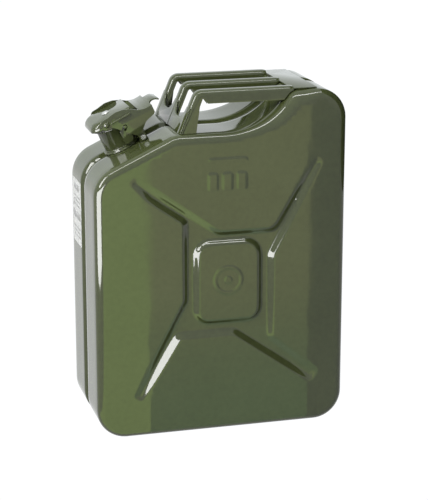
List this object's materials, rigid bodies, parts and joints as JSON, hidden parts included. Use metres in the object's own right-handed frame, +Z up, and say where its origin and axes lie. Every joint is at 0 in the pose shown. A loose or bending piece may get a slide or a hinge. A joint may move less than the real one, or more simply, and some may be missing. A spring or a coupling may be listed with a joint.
{
  "type": "fuel can",
  "caption": "Upright pressed-steel fuel can with a triple carrying handle, crossed side panels and a hinged filler cap locked by a cam lever.",
  "frame": {"origin": "under the middle of the base, on the surface the can stands on", "axes": "+Z up, +X from the filler end to the air-chamber end, -Y out of the broad face that is seen in the picture"},
  "size_m": [0.3453, 0.165, 0.47],
  "materials": {
    "body_paint": "olive green semi-gloss enamel on pressed steel",
    "fitting_paint": "the same olive enamel on thicker fittings",
    "bright_steel": "zinc-plated pins and pipe",
    "gasket_rubber": "matt black fuel-proof rubber",
    "label_paper": "plain white film label"
  },
  "bodies": {
    "can": {"front_half_shell": "body_paint", "rear_half_shell": "body_paint", "handle_stamping": "body_paint", "filler_neck": "fitting_paint", "neck_base_ring": "fitting_paint", "hinge_bracket": "fitting_paint", "hinge_pin": "bright_steel", "neck_lug_front": "fitting_paint", "neck_lug_rear": "fitting_paint", "cam_stud_front": "bright_steel", "cam_stud_rear": "bright_steel", "breather_tube": "bright_steel", "label_sticker": "label_paper"},
    "cap": {"cap_yoke": "fitting_paint", "cap_dome": "fitting_paint", "cap_gasket": "gasket_rubber", "cap_rivet": "bright_steel", "lever_rivet_front": "bright_steel", "lever_rivet_rear": "bright_steel"},
    "lever": {"lever": "fitting_paint"}
  },
  "joints": [
    {"name": "cap_hinge", "type": "hinge", "parent": "can", "child": "cap", "pos_m": [-0.09509, 0, 0.40432], "axis": [0, 1, 0], "range_deg": [0, 90]},
    {"name": "lever_pivot", "type": "hinge", "parent": "cap", "child": "lever", "pos_m": [-0.14528, 0, 0.42359], "axis": [0, -1, 0], "range_deg": [0, 157.5]}
  ],
  "couplings": [
    {"joint": "lever_pivot", "follows": "cap_hinge", "ratio": 1.75}
  ]
}
